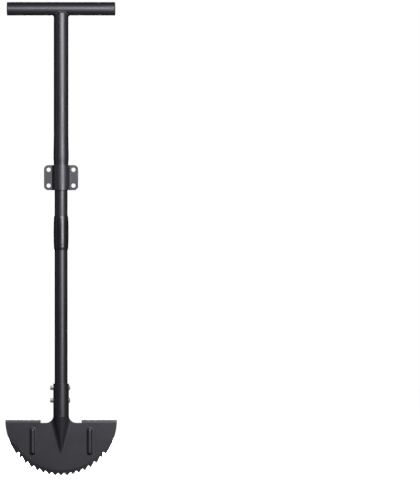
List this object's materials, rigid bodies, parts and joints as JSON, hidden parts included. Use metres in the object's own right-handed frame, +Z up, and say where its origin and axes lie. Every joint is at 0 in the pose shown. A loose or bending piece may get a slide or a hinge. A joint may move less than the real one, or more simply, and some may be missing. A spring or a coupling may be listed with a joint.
{
  "type": "half-moon lawn edger",
  "caption": "Upright step-on lawn edger: half-moon blade with a saw-toothed rim and folded foot treads, on a sectional tube shaft with a screwed coupling and a T handle.",
  "frame": {"origin": "on the shaft's axis, level with the tip of the lowest tooth", "axes": "+Z up the shaft towards the T handle, -Y towards the front of the blade where the pressed shapes bulge, +X to the right seen from the front"},
  "size_m": [0.234, 0.036, 0.9953],
  "materials": {
    "shaft_coat": "satin black powder coat on steel tube",
    "bracket_coat": "satin black powder coat on pressed steel",
    "sleeve_coat": "semi-gloss black coat on a turned steel sleeve",
    "blade_coat": "satin charcoal powder coat on pressed sheet steel",
    "cap_plastic": "moulded black plastic",
    "plain_steel": "turned, uncoated",
    "bright_zinc": "bright zinc plate"
  },
  "bodies": {
    "handle_section": {"cross_bar": "shaft_coat", "cross_bar_cap_left": "cap_plastic", "cross_bar_cap_right": "cap_plastic", "upper_tube": "shaft_coat", "bracket_front": "bracket_coat", "bracket_back": "bracket_coat", "mid_tube": "shaft_coat", "coupling_spigot": "plain_steel", "spigot_rivet": "plain_steel", "index_pin": "plain_steel"},
    "head_section": {"lower_tube": "shaft_coat", "socket_tube": "shaft_coat", "blade": "blade_coat", "socket_bolt_lower": "bright_zinc", "socket_bolt_upper": "bright_zinc", "socket_washer_lower": "bright_zinc", "socket_washer_upper": "bright_zinc", "socket_nut_lower": "bright_zinc", "socket_nut_upper": "bright_zinc"},
    "union_sleeve": {"coupling_sleeve": "sleeve_coat"}
  },
  "joints": [
    {"name": "head_draw", "type": "slide", "parent": "handle_section", "child": "head_section", "axis": [0, 0, -1], "range_m": [0, 0.014]},
    {"name": "sleeve_turn", "type": "hinge", "parent": "head_section", "child": "union_sleeve", "pos_m": [0, 0, 0.5105], "axis": [0, 0, -1], "range_deg": [0, 2520]}
  ],
  "couplings": [
    {"joint": "sleeve_turn", "follows": "head_draw", "rad_per_m": 3141.6}
  ]
}
